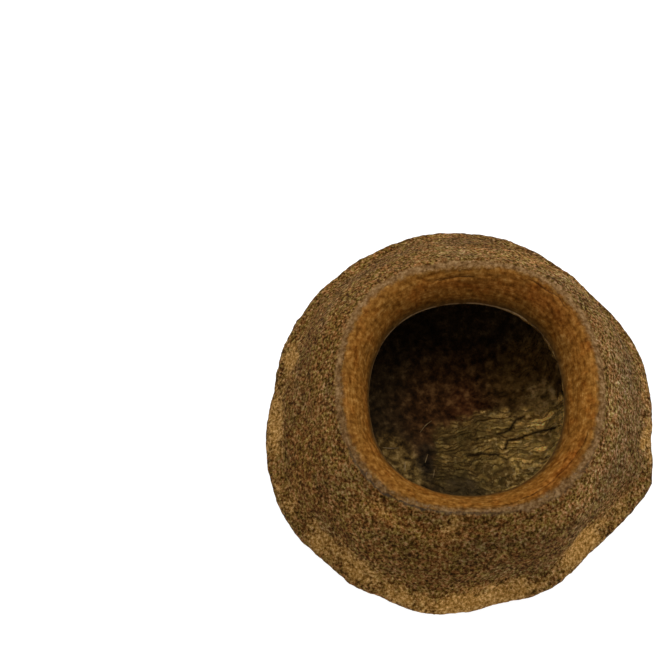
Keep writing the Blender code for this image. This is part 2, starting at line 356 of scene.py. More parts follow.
# Light and table, in metres and watts.
KEY_PLACE = Vector((0.165, 0.47, 1.25))
KEY_POWER = 15
FILL_PLACE = Vector((-0.8, -0.3, 1.0))
FILL_POWER = 1.5
LIGHT_WIDTH = 0.9
SKY_STRENGTH = 0.25  # of the even light from all round
TABLE_HALF_WIDTH = 3.0
TABLE_GREY = 0.3
TABLE_GLOW = 0.95

# Camera.
CAMERA_PLACE = Vector((-51.2, -158.2, 664.2)) * MM
CAMERA_LIFT = math.radians(72.585)  # of its axis, over the horizon
LENS = 85
SENSOR = 36
CLIP_START = 0.01


def smoothstep(low, high, value):
    share = min(1.0, max(0.0, (value - low) / (high - low)))
    return share * share * (3 - 2 * share)


def degrees_off(angle, direction):
    """From a direction in degrees to an angle in radians, the short way round, in degrees."""
    return math.remainder(math.degrees(angle) - direction, 360)


def lengths_along(points):
    """How far along their path each of these points lies."""
    lengths = [0.0]
    for a, b in zip(points, points[1:]):
        lengths.append(lengths[-1] + (b - a).length)
    return lengths


def stretches():
    """The turned outline as named stretches of (radius, height) points, from the scar round to the floor."""
    scar, foot = SCAR_RADIUS, FOOT_RADIUS
    ring, rise = RING_RADIUS, RING_HEIGHT
    lip, top = LIP_RADIUS, LIP_HEIGHT
    throat, edge = THROAT_RADIUS, THROAT_HEIGHT
    inner, floor = RING_RADIUS - WALL, FLOOR_HEIGHT
    rim = scar * 1.25
    outline = {
        "scar": [(0, SCAR_DEPTH * 0.5), (scar * 0.6, SCAR_DEPTH * 0.8), (scar, SCAR_DEPTH), (rim, 0)],
        "foot": [(rim, 0), (foot, 0)],
        "dome": [(foot, 0), (ring * 0.42, 2 * MM), (ring * 0.63, 8.5 * MM), (ring * 0.79, 17 * MM),
                 (ring * 0.90, 26.5 * MM), (ring * 0.952, rise - 9 * MM)],
        "ring": [(ring * 0.952, rise - 9 * MM), (ring * 0.984, rise - 5 * MM), (ring, rise),
                 (ring * 0.986, rise + 3.5 * MM), (ring * 0.958, rise + 6 * MM),
                 (ring * 0.93, rise + 9 * MM)],
        "shoulder": [(ring * 0.93, rise + 9 * MM), (ring * 0.90, rise + 15 * MM),
                     (ring * 0.86, rise + 23 * MM), (ring * 0.80, rise + 33 * MM),
                     (ring * 0.735, top - 9 * MM), (lip + 5.4 * MM, top - 4.2 * MM)],
        "lip": [(lip + 5.4 * MM, top - 4.2 * MM), (lip + 3.3 * MM, top - 1.3 * MM), (lip, top),
                (lip - 2.4 * MM, top - 1.6 * MM)],
        "seat": [(lip - 2.4 * MM, top - 1.6 * MM), (lip - 5.2 * MM, top - 5.4 * MM),
                 (throat + 2.2 * MM, edge + 7.2 * MM), (throat, edge)],
        "hollow": [(throat, edge), (throat + 1.4 * MM, edge - 3.5 * MM), (throat + 9 * MM, edge - 9 * MM),
                   (inner * 0.93, edge - 18 * MM), (inner, rise), (inner * 0.96, rise - 11 * MM),
                   (inner * 0.79, floor + 13 * MM)],
        "floor": [(inner * 0.79, floor + 13 * MM), (inner * 0.55, floor + 5 * MM),
                  (inner * 0.28, floor + 1.4 * MM), (0, floor)],
    }
    return [(name, [Vector(point) for point in points]) for name, points in outline.items()]


def between(points, before, after, rows):
    """Points at even steps along a smooth curve through the given ones, all but the last one."""
    ends = [before, *points, after]
    fine = []
    for p0, p1, p2, p3 in zip(ends, ends[1:], ends[2:], ends[3:]):
        for step in range(CURVE_STEPS):
            t = step / CURVE_STEPS
            bend = (2 * p0 - 5 * p1 + 4 * p2 - p3) * t * t + (3 * p1 - p0 - 3 * p2 + p3) * t * t * t
            fine.append(0.5 * (2 * p1 + (p2 - p0) * t + bend))
    fine.append(points[-1])
    lengths = lengths_along(fine)
    path, k = [], 0
    for row in range(rows):
        target = lengths[-1] * row / rows
        while lengths[k + 1] < target:
            k += 1
        share = (target - lengths[k]) / (lengths[k + 1] - lengths[k])
        path.append(fine[k].lerp(fine[k + 1], share))
    return path


def turned_outline():
    """Rows of (point, direction out of the solid, stretch name, distance along from the lip's crest)."""
    whole = stretches()
    points, names = [], []
    for index, (name, marks) in enumerate(whole):
        before = 2 * marks[0] - marks[1]
        after = 2 * marks[-1] - marks[-2]
        if name not in CORNERS:
            before = whole[index - 1][1][-2]
        if index + 1 < len(whole) and whole[index + 1][0] not in CORNERS:
            after = whole[index + 1][1][1]
        points += between(marks, before, after, ROWS[name])
        names += [name] * ROWS[name]
    points.append(whole[-1][1][-1])
    names.append(whole[-1][0])
    lengths = lengths_along(points)
    crest = lengths[max(range(len(points)), key=lambda k: points[k].y)]
    rows = []
    for index, (point, name) in enumerate(zip(points, names)):
        along = points[min(index + 1, len(points) - 1)] - points[max(index - 1, 0)]
        rows.append((point, Vector((along.y, -along.x)).normalized(), name, lengths[index] - crest))
    return rows


def waves(table, angle):
    return sum(height * MM * math.sin(count * angle + math.radians(phase)) for count, height, phase in table)


def bumps(table, angle):
    """Height of the round bumps of a table at this angle."""
    total = 0.0
    for direction, height, half_width in table:
        off = degrees_off(angle, direction) / half_width
        total += height * MM * math.exp(-off * off)
    return total


def lumps(table, point):
    return sum(height * noise.noise(point / size + Vector((seed, 0, 0))) for size, height, seed in table)


def outer_relief(point, angle):
    """How far the outer wall stands out at this point: broad lumps, dents over the ring and coarse crust."""
    crusty = 1 - smoothstep(*CRUST_OUT, point.z)
    off = (point.z - DENT_HEIGHT) / DENT_REACH
    dent = bumps(DENTS, angle) * math.exp(-off * off)
    broad = lumps(BROAD_LUMPS, point) * (LIP_LUMPS + (1 - LIP_LUMPS) * crusty)
    return (broad + lumps(CRUST_LUMPS, point) * crusty - dent) * smoothstep(*LUMPS_IN, point.z)


def layer_place(point):
    """Where a point of the floor lies among the torn layers, in layers, and how torn the floor is there."""
    size, reach, seed = LAYER_WANDER
    wander = reach * noise.noise(point / size + Vector((seed, 0, 0)))
    across = ((point - LAYER_CENTRE).xy.length + wander) / LAYER_PITCH
    return across, smoothstep(*TORN_IN, point.x - TORN_SLANT * point.y)


def torn_layers(point):
    """Height of the ragged layers on the floor: each rises away from their centre and ends in a step."""
    across, torn = layer_place(point)
    ramp = across % 1.0
    return LAYER_STEP * ramp * (1 - smoothstep(0.75, 1.0, ramp)) * torn


def floor_relief(point, angle, radius):
    """Height of the torn layers and of the low, broken walls between the chambers on the hollow's floor."""
    across = math.sin(CHAMBERS / 2 * (angle - CHAMBER_TURN)) * radius / CHAMBER_WALL_WIDTH
    size, seed = CHAMBER_BREAKS
    broken = 0.5 + noise.noise(point / size + Vector((seed, 0, 0)))
    wall = CHAMBER_WALL * broken * math.exp(-across * across) * smoothstep(*CHAMBER_WALL_ENDS, radius)
    return (wall + torn_layers(point)) * smoothstep(*CALM_MIDDLE, radius)


def grown(point, normal, stretch):
    """Where a point of the turned outline lies on the uneven pod, and the direction out of its wall there."""
    radius = math.hypot(point.x, point.y)
    angle = math.atan2(point.y, point.x)
    height = point.z
    out = Vector((math.cos(angle), math.sin(angle), 0))
    up = Vector((0, 0, 1))
    facing = out * normal.x + up * normal.y
    inside = stretch in ("seat", "hollow", "floor")

    lobed = smoothstep(*LOBES_IN, height) * (1 - smoothstep(*LOBES_OUT, height))
    mouth = smoothstep(*MOUTH_IN, height)
    radius += bumps(LOBES, angle) * lobed * (LOBES_INSIDE if inside else 1)
    radius *= 1 - mouth * (MOUTH_SQUARENESS * math.cos(4 * angle) + MOUTH_OVALNESS * math.cos(2 * angle))
    placed = out * radius + up * height + BODY_SHIFT + MOUTH_SHIFT * mouth

    placed.z += waves(LIP_WAVES, angle) * smoothstep(*LIP_WAVES_IN, height)
    if stretch in ("hollow", "floor"):
        on_floor = smoothstep(*FLOOR_IN, height)
        at_edge = smoothstep(*THROAT_IN, height)
        placed.z += floor_relief(placed, angle, radius) * on_floor
        placed += facing * lumps(BROAD_LUMPS, placed) * (1 - on_floor) * (1 - at_edge)
        placed += out * bumps(CHIP, angle) * at_edge
    elif stretch == "seat":
        placed += facing * SEAT_LUMPS * lumps(BROAD_LUMPS, placed)
    elif stretch not in ("scar", "foot"):
        off = (height - RING_HEIGHT) / RING_WAVE_REACH
        placed.z += waves(RING_WAVES, angle) * math.exp(-off * off)
        placed += facing * outer_relief(placed, angle)
    return placed, facing


def ragged(point, size, reach, seed):
    """Noise from about -1 to 1 times reach at this size, with two finer octaves."""
    start = point / size + Vector((seed, 0, 0))
    return reach * (noise.noise(start) + 0.5 * noise.noise(start * 2.1) + 0.25 * noise.noise(start * 4.3))


def lip_depth(point, angle, along):
    """How many mm inside the smooth lip band this point lies, less than 0 on the crust and on the seat."""
    if abs(along) > LIP_REACH:
        return OFF_LIP
    shift = bumps(LIP_BAND_SHIFT, angle)
    outer_edge, inner_edge = LIP_EDGE_RAGGED
    outer = LIP_BAND_OUTER + shift + bumps(LIP_BAND_NARROWED, angle) + ragged(point, *outer_edge)
    inner = LIP_BAND_INNER + shift + ragged(point, *inner_edge)
    return max(OFF_LIP, min(along - outer, inner - along) / MM)


def worn_share(point, angle):
    """How worn the crust is at this point: 1 in the middle of an ochre patch."""
    over = (point.z - WORN_BAND_HEIGHT) / WORN_REACH
    total = WORN_BAND * math.exp(-over * over)
    for direction, strength, half_width, height in WORN_PATCHES:
        off = degrees_off(angle, direction) / half_width
        rise = (point.z - RING_HEIGHT - height * MM) / WORN_REACH
        total += strength * math.exp(-off * off - rise * rise)
    return total


def patch_tone(table, angle, height):
    """Sum of soft patches, each (direction, height in mm, half width, half height in mm, strength)."""
    total = 0.0
    for direction, middle, half_width, half_height, strength in table:
        off = degrees_off(angle, direction) / half_width
        rise = (height / MM - middle) / half_height
        total += strength * math.exp(-off * off - rise * rise)
    return total


def seam_place(angle, along):
    """How many mm this point lies from the nearest crack of the seat, and 1 where that crack runs."""
    turn = degrees_off(angle, 0)
    best = (9.0, 0.0)  # far from any crack
    for seam in SEAMS:
        for (start, first), (end, last) in zip(seam, seam[1:]):
            if start <= turn < end:
                middle = first + (last - first) * (turn - start) / (end - start)
                begun = smoothstep(0, SEAM_FADE, turn - seam[0][0])
                runs = begun * smoothstep(0, SEAM_FADE, seam[-1][0] - turn)
                best = (along / MM - middle, runs)
    return best


def knobs(point):
    """Height of the woody knobs on the hollow's floor."""
    total = 0.0
    for x, y, half_width, height in KNOBS:
        off = (point.xy - Vector((x, y)) * MM).length / (half_width * MM)
        total += height * MM * math.exp(-off * off)
    return total


def fine_layers(point):
    """Where a point of the floor lies among the thin torn layers, counted in coarse layers."""
    across, torn = layer_place(point)
    return across + lumps(FINE_WANDER, point), torn


def fine_relief(point, angle, stretch, along, lip):
    """How far the fine surface stands out: crust, smooth lip, the seat's rings, the hollow's layers."""
    if stretch in ("dome", "ring", "shoulder", "lip") and lip < 0 and along < 0:
        whole = smoothstep(0, CRUST_EDGE, -lip)
        rim = CRUST_THICKNESS * smoothstep(*CRUST_STEP_IN, along)
        return whole * (smoothstep(*GRAIN_IN, point.z) * lumps(CRUST_GRAIN, point) + rim)
    if stretch in ("lip", "seat"):
        radius = math.hypot(point.x, point.y)
        rings = Vector((radius, point.z, 0)) / SEAT_RING_SPACING + point / SEAT_RING_WANDER
        away, runs = seam_place(angle, along)
        crack = SEAM_DEPTH * runs * math.exp(-(away / SEAM_HALF_WIDTH) ** 2)
        return lumps(LIP_GRAIN, point) + SEAT_RING_HEIGHT * noise.noise(rings) - crack
    if stretch in ("hollow", "floor"):
        across, torn = fine_layers(point)
        ramp = (across * FINE_LAYERS) % 1.0
        layers = FINE_STEP * ramp * (1 - smoothstep(0.8, 1.0, ramp)) * torn
        below_edge = smoothstep(0, HOLLOW_GRAIN_IN, THROAT_HEIGHT - point.z)
        return (lumps(HOLLOW_GRAIN, point) + layers + knobs(point)) * below_edge
    return SCAR_GRAIN * lumps(CRUST_GRAIN, point) if stretch == "scar" else 0.0


def point_marks(place, angle, stretch, along, to_edge, lip):
    """What the surface's colours need to know about one point, which lies to_edge before the throat's edge."""
    inside = stretch in ("hollow", "floor")
    on_seat = along > 0 and not inside
    middle = (LIP_BAND_OUTER + LIP_BAND_INNER) / 2 + bumps(LIP_BAND_SHIFT, angle)
    layers, torn = fine_layers(place)
    away, runs = seam_place(angle, along)
    return {
        "lip": lip,
        "along": along / MM,
        "edge": to_edge / MM,
        "seat": float(along > middle and not inside),
        "hollow": float(inside),
        "scar": float(stretch == "scar"),
        "worn": worn_share(place, angle),
        # tone: paler and darker patches, partly painted light and shade, partly the wall's own tone
        "tone": patch_tone(SEAT_TONES_AND_PAINTED_LIGHT if on_seat else CRUST_TONES_AND_PAINTED_LIGHT, angle, place.z),
        "warm": patch_tone(SEAT_REDS if on_seat else WARM_PATCHES, angle, place.z),
        "cool_light": patch_tone(COOL_LIGHT_PATCHES, angle, place.z),
        "layers": layers,
        "torn": torn if inside else 0.0,
        "seam": away,
        "runs": runs if on_seat else 0.0,
        "groove_shade": bumps(GROOVE_SHADE_STRENGTHS, angle) / MM,
    }


def pod_points():
    """Places of the fine mesh's points, row by row, and the marks of each."""
    rows = turned_outline()
    edge_along = next(along for outline, normal, stretch, along in rows if stretch == "hollow")
    places, marks = [], []
    for index, (outline, normal, stretch, along) in enumerate(rows):
        on_axis = index in (0, len(rows) - 1)
        for step in range(1 if on_axis else SEGMENTS):
            turn = math.tau * step / SEGMENTS
            turned = Vector((outline.x * math.cos(turn), outline.x * math.sin(turn), outline.y))
            place, facing = grown(turned, normal, stretch)
            angle = math.atan2(turned.y, turned.x)
            lip = lip_depth(place, angle, along)
            place += facing * fine_relief(place, angle, stretch, along, lip)
            places.append(place)
            marks.append(point_marks(place, angle, stretch, along, edge_along - along, lip))
    return places, marks


def pod_faces():
    """Quads between the rows, and a fan of triangles at each end on the axis."""
    end = 1 + (sum(ROWS.values()) - 1) * SEGMENTS  # the floor's middle, after the rows that go round
    last_row = end - SEGMENTS
    faces = []
    for step in range(SEGMENTS):
        after = (step + 1) % SEGMENTS
        faces.append((0, 1 + after, 1 + step))
        for row in range(1, last_row, SEGMENTS):
            faces.append((row + step, row + after, row + SEGMENTS + after, row + SEGMENTS + step))
        faces.append((last_row + step, last_row + after, end))
    return faces


def add_piece(name, mesh, material):
    """Puts a mesh in the scene as a piece of the pod."""
    piece = bpy.data.objects.new(name, mesh)
    bpy.context.scene.collection.objects.link(piece)
    mesh.materials.append(material)
    mesh.shade_smooth()
    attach(piece, "root")
    return piece


def make_pod():
    places, marks = pod_points()
    faces = pod_faces()
    mesh = bpy.data.meshes.new("pod_wall")
    mesh.from_pydata(places, [], faces)
    for name in marks[0]:
        values = [mark[name] for mark in marks]
        mesh.attributes.new(name, "FLOAT", "POINT").data.foreach_set("value", values)
    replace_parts(add_piece("pod_wall", mesh, bark()), "pod")
    return BVHTree.FromPolygons(places, faces)


def fibre_path(wall, draw, x, y, heading, length, curl):
    """Points of one loose fibre that lies on the hollow's floor and wavers on its way."""
    path = []
    place = Vector((x, y, 0)) * MM
    turn = math.radians(heading)
    for step in range(FIBRE_STEPS + 1):
        hit = wall.ray_cast(Vector((place.x, place.y, THROAT_HEIGHT)), Vector((0, 0, -1)))[0]
        lift = math.sin(math.pi * step / FIBRE_STEPS) * FIBRE_LIFT
        path.append(Vector((place.x, place.y, hit.z + lift)))
        turn += math.radians(curl / FIBRE_STEPS + draw.uniform(-FIBRE_WAVER, FIBRE_WAVER))
        place += Vector((math.cos(turn), math.sin(turn), 0)) * length * MM / FIBRE_STEPS
    return path


def add_fibre(mesh, path, radius):
    """A slim closed tube along the path, thinner at both ends."""
    rings = []
    for index, point in enumerate(path):
        along = (path[min(index + 1, len(path) - 1)] - path[max(index - 1, 0)]).normalized()
        across = along.cross(Vector((0, 0, 1))).normalized()
        over = across.cross(along)
        size = radius * (FIBRE_TIP + (1 - FIBRE_TIP) * math.sin(math.pi * (index + 0.5) / len(path)))
        ring = []
        for side in range(FIBRE_SIDES):
            turn = math.tau * side / FIBRE_SIDES
            ring.append(mesh.verts.new(point + size * (across * math.cos(turn) + over * math.sin(turn))))
        rings.append(ring)
    for ring, following in zip(rings, rings[1:]):
        for side in range(FIBRE_SIDES):
            after = (side + 1) % FIBRE_SIDES
            mesh.faces.new((ring[side], ring[after], following[after], following[side]))
    mesh.faces.new(reversed(rings[0]))
    mesh.faces.new(rings[-1])


def make_fibres(wall):
    """Pale loose fibres on the hollow's floor."""
    draw = random.Random(FIBRE_SEED)
    mesh = bmesh.new()
    for fibre in FIBRES:
        path = fibre_path(wall, draw, *fibre)
        add_fibre(mesh, path, draw.uniform(*FIBRE_RADII) * MM)
    bmesh.ops.recalc_face_normals(mesh, faces=mesh.faces)
    made = bpy.data.meshes.new("fibres")
    mesh.to_mesh(made)
    mesh.free()
    add_piece("fibres", made, straw())


def linear(red, green, blue):
    """A display colour, each part from 0 to 255, as the linear colour that a shader takes."""
    parts = []
    for part in (red, green, blue):
        share = part / 255
        parts.append(share / 12.92 if share <= 0.04045 else ((share + 0.055) / 1.055) ** 2.4)
    return (*parts, 1)


class Shading:
    """Makes the nodes of one material, each joined to what it takes."""

    def __init__(self, name):
        self.material = bpy.data.materials.new(name)
        self.material.use_nodes = True
        self.tree = self.material.node_tree
        self.shader = self.tree.nodes["Principled BSDF"]
        self.place = self.node("ShaderNodeTexCoord").outputs["Object"]
        self.grain_place = self.vector("MULTIPLY", self.place, GRAIN_SQUEEZE)
        parts = self.node("ShaderNodeSeparateXYZ")
        self.give(parts.inputs[0], self.place)
        self.x, self.y = parts.outputs["X"], parts.outputs["Y"]

    def node(self, kind, **settings):
        made = self.tree.nodes.new(kind)
        for name, value in settings.items():
            setattr(made, name, value)
        return made

    def give(self, socket, value):
        if isinstance(value, bpy.types.NodeSocket):
            self.tree.links.new(value, socket)
        else:
            socket.default_value = value

    def mark(self, name):
        return self.node("ShaderNodeAttribute", attribute_name=name).outputs["Fac"]

    def noise(self, size, detail=3, roughness=0.55, place=None):
        """Noise from 0 to 1, mostly near 0.5."""
        made = self.node("ShaderNodeTexNoise")
        self.give(made.inputs["Vector"], place or self.place)
        made.inputs["Scale"].default_value = 1 / size
        made.inputs["Detail"].default_value = detail
        made.inputs["Roughness"].default_value = roughness
        return made.outputs["Fac"]

    def cells(self, size):
        """Distance from the middle of the nearest cell, 0 to about 1."""
        made = self.node("ShaderNodeTexVoronoi")
        self.give(made.inputs["Vector"], self.grain_place)
        made.inputs["Scale"].default_value = 1 / size
        return made.outputs["Distance"]

    def math(self, operation, first, second=0.0, clamp=False):
        made = self.node("ShaderNodeMath", operation=operation, use_clamp=clamp)
        self.give(made.inputs[0], first)
        self.give(made.inputs[1], second)
        return made.outputs[0]

    def add(self, first, second):
        return self.math("ADD", first, second)

    def times(self, first, second):
        return self.math("MULTIPLY", first, second)

    def step(self, value, low, high, bottom=0.0, top=1.0):
        """The value bottom below low and top above high, smooth between."""
        made = self.node("ShaderNodeMapRange", interpolation_type="SMOOTHSTEP")
        self.give(made.inputs["Value"], value)
        rising = low < high
        made.inputs["From Min"].default_value = low if rising else high
        made.inputs["From Max"].default_value = high if rising else low
        made.inputs["To Min"].default_value = bottom if rising else top
        made.inputs["To Max"].default_value = top if rising else bottom
        return made.outputs["Result"]

    def line(self, value, width):
        """1 where the value is 0, falling to 0 at this width on both sides."""
        return self.step(self.math("ABSOLUTE", value), 0.0, width, 1.0, 0.0)

    def drawn_out(self, level, spacing, run, ragged_share):
        """A place in the noise that changes fast with level, in mm, and slowly along lines of equal level."""
        made = self.node("ShaderNodeCombineXYZ")
        shift = self.times(self.off_noise(5 * MM), ragged_share)
        self.give(made.inputs[0], self.add(self.times(level, 1 / spacing), shift))
        self.give(made.inputs[1], self.times(self.x, 1 / run))
        self.give(made.inputs[2], self.times(self.y, 1 / run))
        return made.outputs[0]

    def streaks(self, level, spacing, run):
        """Noise drawn out along the lines of equal level. Level and spacing are in mm, run in metres."""
        return self.noise(1.0, detail=4, roughness=0.6, place=self.drawn_out(level, spacing, run, 1.5))

    def plates(self, level, spacing, run):
        """Torn plates drawn out in the same way: a tone for each plate, and 1 at the cracks between them."""
        place = self.drawn_out(level, spacing, run, 2.6)
        tone = self.node("ShaderNodeTexVoronoi")
        gap = self.node("ShaderNodeTexVoronoi", feature="DISTANCE_TO_EDGE")
        for made in (tone, gap):
            made.inputs["Scale"].default_value = 1
            self.give(made.inputs["Vector"], place)
        return tone.outputs["Color"], self.step(gap.outputs["Distance"], 0.02, 0.2, 1.0, 0.0)

    def crack(self, corners):
        """1 on a wavering line through these places, seen from above, in mm."""
        noisy = self.node("ShaderNodeTexNoise")
        self.give(noisy.inputs["Vector"], self.place)
        noisy.inputs["Scale"].default_value = 1 / CRACK_WAVER_SIZE
        flat = self.vector("MULTIPLY", self.place, (1 / MM, 1 / MM, 0))
        wavering = self.vector("MULTIPLY_ADD", noisy.outputs["Color"], (CRACK_WAVER, CRACK_WAVER, 0), flat)
        flat = self.vector("SUBTRACT", wavering, (CRACK_WAVER / 2, CRACK_WAVER / 2, 0))
        nearest = 99.0  # mm, further than any point of the pod
        for start, end in zip(corners, corners[1:]):
            start, end = Vector((*start, 0)), Vector((*end, 0))
            off = self.vector("SUBTRACT", flat, start)
            share = self.vector("DOT_PRODUCT", off, (end - start) / (end - start).length_squared, out="Value")
            foot = self.brighter(end - start, self.math("ADD", share, 0.0, clamp=True))
            nearest = self.math("MINIMUM", self.vector("DISTANCE", off, foot, out="Value"), nearest)
        return self.line(nearest, CRACK_HALF_WIDTH)

    def vector(self, operation, *values, out="Vector"):
        made = self.node("ShaderNodeVectorMath", operation=operation)
        for socket, value in zip(made.inputs, values):
            self.give(socket, value)
        return made.outputs[out]

    def patch(self, x, y, faded, full):
        """1 in a ragged round patch seen from above, 0 outside it, sizes in mm."""
        flat = self.vector("MULTIPLY", self.place, (1, 1, 0))
        away = self.vector("DISTANCE", flat, (x * MM, y * MM, 0), out="Value")
        ragged_away = self.add(away, self.times(self.off_noise(6 * MM), 9 * MM))
        return self.step(ragged_away, faded * MM, full * MM)

    def off_noise(self, size):
        """Noise from about -0.3 to 0.3."""
        return self.add(self.noise(size, detail=4, roughness=0.6), -0.5)

    def tint(self, share, colour, by):
        """The colour with its parts multiplied by those of the tint, as far as share goes."""
        made = self.node("ShaderNodeMix", data_type="RGBA", blend_type="MULTIPLY")
        self.give(made.inputs["Factor"], share)
        self.give(made.inputs[6], colour)
        made.inputs[7].default_value = (*by, 1)
        return made.outputs[2]

    def ramp(self, value, stops):
        """A colour for each value, from (place in the noise, colour) stops."""
        made = self.node("ShaderNodeValToRGB")
        self.give(made.inputs["Fac"], value)
        elements = made.color_ramp.elements
        while len(elements) < len(stops):
            elements.new(0.5)
        for element, (position, colour) in zip(elements, stops):
            element.position = position
            element.color = linear(*colour)
        return made.outputs["Color"]

    def mix(self, share, colour, other):
        """The colour, with as much of the other one as share says. The other may be a display colour."""
        made = self.node("ShaderNodeMix", data_type="RGBA")
        self.give(made.inputs["Factor"], share)
        self.give(made.inputs[6], colour)
        self.give(made.inputs[7], other if isinstance(other, bpy.types.NodeSocket) else linear(*other))
        return made.outputs[2]

    def brighter(self, colour, share):
        """The colour with each part multiplied by a number."""
        scaled = self.node("ShaderNodeVectorMath", operation="SCALE")
        self.give(scaled.inputs[0], colour)
        self.give(scaled.inputs["Scale"], share)
        return scaled.outputs[0]


def crust_colour(s, speckle, grain):
    """Brown grains with dark pits, some olive and some reddish, worn to ochre in patches on the ring."""
    hue = s.noise(1.9 * MM, detail=2)
    colour = s.tint(s.step(hue, 0.47, 0.60), s.ramp(speckle, CRUST_SHADES), REDDISH)
    colour = s.tint(s.step(hue, 0.53, 0.40), colour, OLIVE)
    colour = s.tint(s.step(s.noise(24 * MM, detail=3), 0.62, 0.40), colour, DULL)
    colour = s.tint(s.step(s.noise(15 * MM, detail=3), 0.48, 0.62), colour, BLUISH)
    colour = s.tint(s.add(s.mark("warm"), s.times(s.off_noise(12 * MM), 1.2)), colour, WARM)
    # Painted cool light: the crust is greyer and bluer in patches, mostly on its lit right and back.
    colour = s.tint(s.mark("cool_light"), colour, COOL_LIGHT_TINT)
    colour = s.brighter(colour, s.add(s.times(s.off_noise(8 * MM), 0.7), 1.0))
    patchy = s.add(s.times(s.off_noise(3.5 * MM), 1.9), s.times(s.off_noise(12 * MM), 0.8))
    bare = s.add(s.mark("worn"), s.add(patchy, s.times(s.add(speckle, -0.5), 0.8)))
    colour = s.mix(s.step(bare, 0.15, 1.05), colour, s.ramp(grain, OCHRE_SHADES))
    return s.mix(s.mark("scar"), colour, s.ramp(s.noise(2 * MM, detail=4), PITH_SHADES))


def lip_colour(s, speckle):
    """Smooth greyish tan, finely grained, with paler flecks."""
    mottle = s.add(s.times(s.noise(2.6 * MM, detail=5, roughness=0.62), 0.5), s.times(speckle, 0.5))
    flecks = s.step(s.noise(1.5 * MM, detail=2), 0.60, 0.70)
    share = s.add(s.times(s.mark("groove_shade"), 0.4), 0.08)
    return s.mix(s.times(flecks, share), s.ramp(mottle, LIP_SHADES), LIP_FLECK)


def seat_colour(s, rings):
    """Orange brown with faint rings, painted shade towards the throat, a painted highlight along its edge and
    dark cracks.
    """
    rusty = s.step(s.noise(7 * MM, detail=4), 0.52, 0.68)
    colour = s.tint(rusty, s.ramp(rings, SEAT_SHADES), SEAT_RUSTY)
    colour = s.tint(s.step(s.noise(10 * MM, detail=3), 0.50, 0.34), colour, SEAT_DULL)
    colour = s.tint(s.add(s.mark("warm"), s.off_noise(5 * MM)), colour, SEAT_RED)
    # Painted shade darkens the seat towards the throat's edge; it is also a little darker next to the lip's
    # crest.
    edge = s.mark("edge")
    inner = s.step(edge, 0.5, 8.0, 0.46, 1.0)
    outer = s.step(s.mark("along"), 0.5, 4.5, 0.86, 1.0)
    colour = s.brighter(colour, s.times(inner, outer))
    colour = s.mix(s.times(s.step(edge, 6.0, 0.5), 0.5), colour, THROAT_PAINTED_SHADE)
    # A painted highlight along the throat's edge, strongest at the back, where the key light falls.
    pale = s.times(s.step(s.y, 0.0, 28 * MM, 0.1, 0.9), s.step(s.noise(6 * MM), 0.36, 0.52))
    colour = s.mix(s.times(s.line(s.add(edge, -0.4), 1.1), pale), colour, THROAT_HIGHLIGHT)
    wavering = s.add(s.mark("seam"), s.times(s.off_noise(3 * MM), 2.4))
    crack = s.times(s.line(wavering, 0.45), s.mark("runs"))
    return s.mix(s.times(crack, 0.75), colour, SEAM_SHADE)


def torn_colour(s, tone, gap, flakes):
    """Ochre torn plates lit by painted light, paler to the right and dim at the front, with dark cracks
    between them, the gaps at the plates' edges partly painted shade.
    """
    brown = s.times(s.step(s.noise(6 * MM, detail=3), 0.44, 0.62), 0.75)
    colour = s.mix(brown, s.ramp(flakes, TORN_SHADES), TORN_BROWN)
    # Painted light: the plates brighten towards the right and dim towards the front.
    lit = s.times(s.step(s.x, 0.0, 42 * MM, 0.72, 3.9), s.step(s.y, -26 * MM, 0.0, 0.5, 1.08))
    colour = s.brighter(colour, s.times(s.step(tone, 0.25, 0.75, 0.66, 1.28), lit))
    # Dark gaps at the plates' edges, partly painted shade under them.
    colour = s.mix(s.times(gap, 0.62), colour, TORN_GAP_SHADE)
    colour = s.tint(s.step(s.noise(5 * MM, detail=3), 0.44, 0.58), colour, TORN_DULL)
    # Pale flecks, more of them to the right, partly painted highlights on the lit side.
    flecks = s.step(s.noise(2.4 * MM, detail=5, roughness=0.65), 0.57, 0.66)
    colour = s.mix(s.times(flecks, s.step(s.x, 5 * MM, 35 * MM, 0.1, 0.7)), colour, TORN_FLECK_HIGHLIGHT)
    for corners in FLOOR_CRACKS:
        colour = s.mix(s.times(s.crack(corners), 0.95), colour, CRACK_SHADE)
    return colour


def torn_share(s):
    """1 on the torn part of the floor: below a tilted ragged line, and right of a second one."""
    ragged_by = s.add(s.times(s.off_noise(5 * MM), 12 * MM), s.times(s.off_noise(14 * MM), 18 * MM))
    lower = s.add(s.y, s.add(s.times(s.x, -TORN_TILT), ragged_by))
    right = s.add(s.x, s.times(s.off_noise(7 * MM), 9 * MM))
    return s.times(s.step(lower, 8 * MM, 2 * MM), s.step(right, -11 * MM, -4 * MM))


def add_patches(s, colour, grain, patches):
    for x, y, faded, full, share, *shades in patches:
        shown = s.times(s.patch(x, y, faded, full), share)
        colour = s.mix(shown, colour, s.ramp(grain, list(zip(PATCH_STOPS, shades))))
    return colour


def hollow_colour(s, tone, gap, flakes, pulp):
    """Dark walls, patches on the floor, and torn plates on one side of it."""
    colour = add_patches(s, s.ramp(pulp, PULP_SHADES), pulp, REDDISH_PATCHES)
    colour = s.mix(torn_share(s), colour, torn_colour(s, tone, gap, flakes))
    return s.brighter(add_patches(s, colour, pulp, FLOOR_PATCHES), HOLLOW_TONE)


def surface_height(s, crust, seat, hollow):
    """Makes the surface look raised by these heights in mm, one for each kind of surface."""
    bump = s.node("ShaderNodeBump")
    bump.inputs["Strength"].default_value = 1
    bump.inputs["Distance"].default_value = MM
    s.give(bump.inputs["Height"], s.add(s.add(crust, seat), hollow))
    s.give(s.shader.inputs["Normal"], bump.outputs["Normal"])


